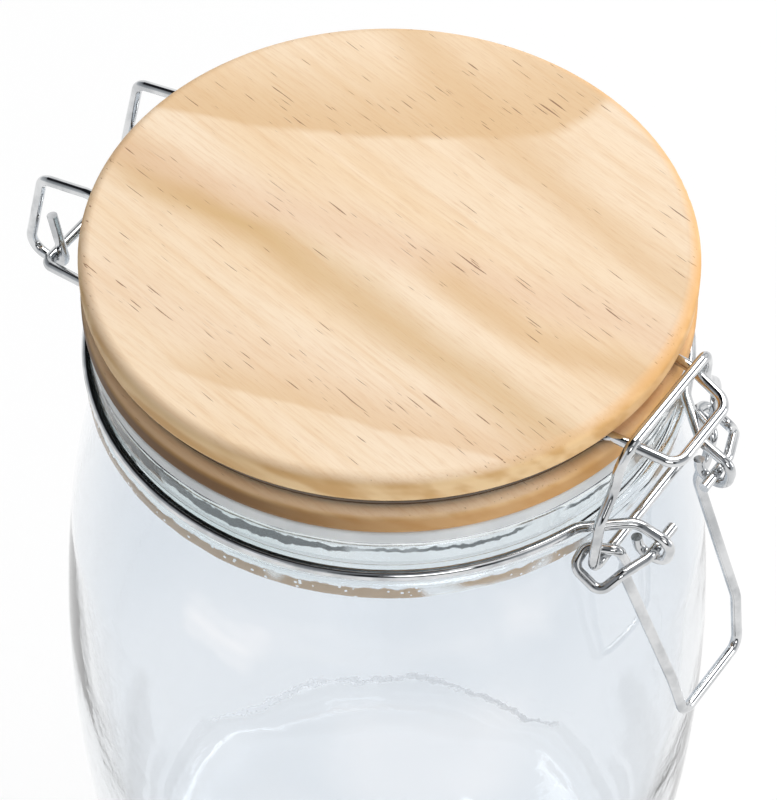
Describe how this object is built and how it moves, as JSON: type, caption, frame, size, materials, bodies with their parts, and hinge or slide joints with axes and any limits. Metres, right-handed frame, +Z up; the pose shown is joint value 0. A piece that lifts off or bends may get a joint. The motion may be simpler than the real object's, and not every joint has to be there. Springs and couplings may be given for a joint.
{
  "type": "glass storage jar",
  "caption": "Clip-top glass storage jar with a round turned wooden lid, a sealing ring, and a wire latch with a pull-down handle; shown shut and empty.",
  "frame": {"origin": "centre of the jar's foot, on the surface it stands on", "axes": "+Z up along the jar's axis to the lid, -Y towards the latch, +Y towards the hinge, +X to the right when the latch is seen from in front"},
  "size_m": [0.1182, 0.1357, 0.184],
  "materials": {
    "clear_glass": "clear and glossy, faintly blue",
    "pine": "pale pine, sanded and lightly oiled, satin",
    "pale_rubber": "pale translucent silicone, matt",
    "bright_wire": "bright plated steel wire, polished"
  },
  "bodies": {
    "closed_jar": {"jar": "clear_glass", "lid": "pine", "gasket": "pale_rubber", "neck_wire": "bright_wire", "lid_wire": "bright_wire"},
    "handle": {"lever": "bright_wire"},
    "loop": {"bail": "bright_wire"}
  },
  "joints": [
    {"name": "lever_pivot", "type": "hinge", "parent": "closed_jar", "child": "handle", "pos_m": [0, -0.06005, 0.155], "axis": [-1, 0, 0], "range_deg": [0, 15]},
    {"name": "bail_pivot", "type": "hinge", "parent": "handle", "child": "loop", "pos_m": [0, -0.0536, 0.1544], "axis": [1, 0, 0], "range_deg": [0, 60]}
  ],
  "couplings": [
    {"joint": "bail_pivot", "follows": "lever_pivot", "ratio": 4}
  ]
}
